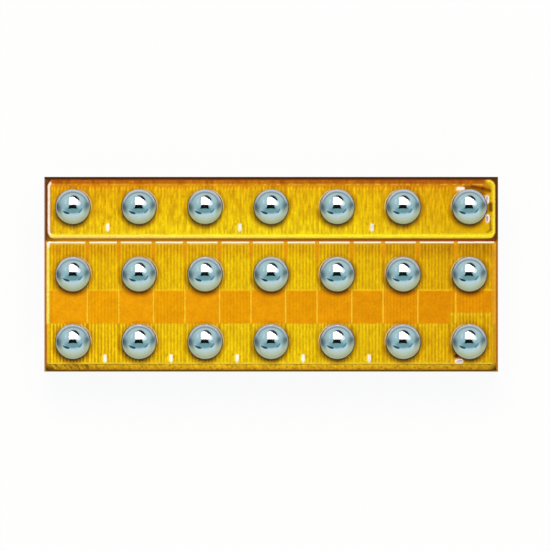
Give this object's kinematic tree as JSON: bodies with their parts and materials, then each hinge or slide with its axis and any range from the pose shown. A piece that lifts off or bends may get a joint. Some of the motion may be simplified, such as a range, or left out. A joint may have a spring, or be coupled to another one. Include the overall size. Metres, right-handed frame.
{
  "type": "transistor array",
  "caption": "Bare silicon die with two finger-structured power transistors under an amber film, bumped with a grid of bright solder balls.",
  "frame": {"origin": "centre of the die's flat back face", "axes": "+X along the long side, +Y across it towards the single row of balls, +Z out of the bumped face"},
  "size_m": [0.0034, 0.0014, 0.0007],
  "materials": {
    "silicon": "sawn sides and a ground back, dull grey",
    "nitride": "glassy brown film",
    "electrode_metal": "plated metal",
    "gate_metal": "sputtered metal",
    "dielectric": "clear amber oxide",
    "passivation": "glossy amber polymer film",
    "bare_metal": "bright bare metal",
    "pad_metal": "nickel plated",
    "solder": "mirror-bright reflowed tin solder"
  },
  "bodies": {
    "root": {"silicon_substrate": "silicon", "nitride_film": "nitride", "upper_source_comb": "electrode_metal", "upper_drain_comb": "electrode_metal", "lower_source_comb": "electrode_metal", "lower_drain_comb": "electrode_metal", "upper_gate_line": "gate_metal", "lower_gate_line": "gate_metal", "upper_dielectric": "dielectric", "lower_dielectric": "dielectric", "upper_passivation": "passivation", "lower_passivation": "passivation", "lower_edge_bars": "bare_metal", "upper_probe_marks": "bare_metal", "lower_probe_marks": "bare_metal", "bump_pad_a1": "pad_metal", "bump_pad_a2": "pad_metal", "bump_pad_a3": "pad_metal", "bump_pad_a4": "pad_metal", "bump_pad_a5": "pad_metal", "bump_pad_a6": "pad_metal", "bump_pad_a7": "pad_metal", "bump_pad_b1": "pad_metal", "bump_pad_b2": "pad_metal", "bump_pad_b3": "pad_metal", "bump_pad_b4": "pad_metal", "bump_pad_b5": "pad_metal", "bump_pad_b6": "pad_metal", "bump_pad_b7": "pad_metal", "bump_pad_c1": "pad_metal", "bump_pad_c2": "pad_metal", "bump_pad_c3": "pad_metal", "bump_pad_c4": "pad_metal", "bump_pad_c5": "pad_metal", "bump_pad_c6": "pad_metal", "bump_pad_c7": "pad_metal", "solder_ball_a1": "solder", "solder_ball_a2": "solder", "solder_ball_a3": "solder", "solder_ball_a4": "solder", "solder_ball_a5": "solder", "solder_ball_a6": "solder", "solder_ball_a7": "solder", "solder_ball_b1": "solder", "solder_ball_b2": "solder", "solder_ball_b3": "solder", "solder_ball_b4": "solder", "solder_ball_b5": "solder", "solder_ball_b6": "solder", "solder_ball_b7": "solder", "solder_ball_c1": "solder", "solder_ball_c2": "solder", "solder_ball_c3": "solder", "solder_ball_c4": "solder", "solder_ball_c5": "solder", "solder_ball_c6": "solder", "solder_ball_c7": "solder"}
  },
  "joints": []
}
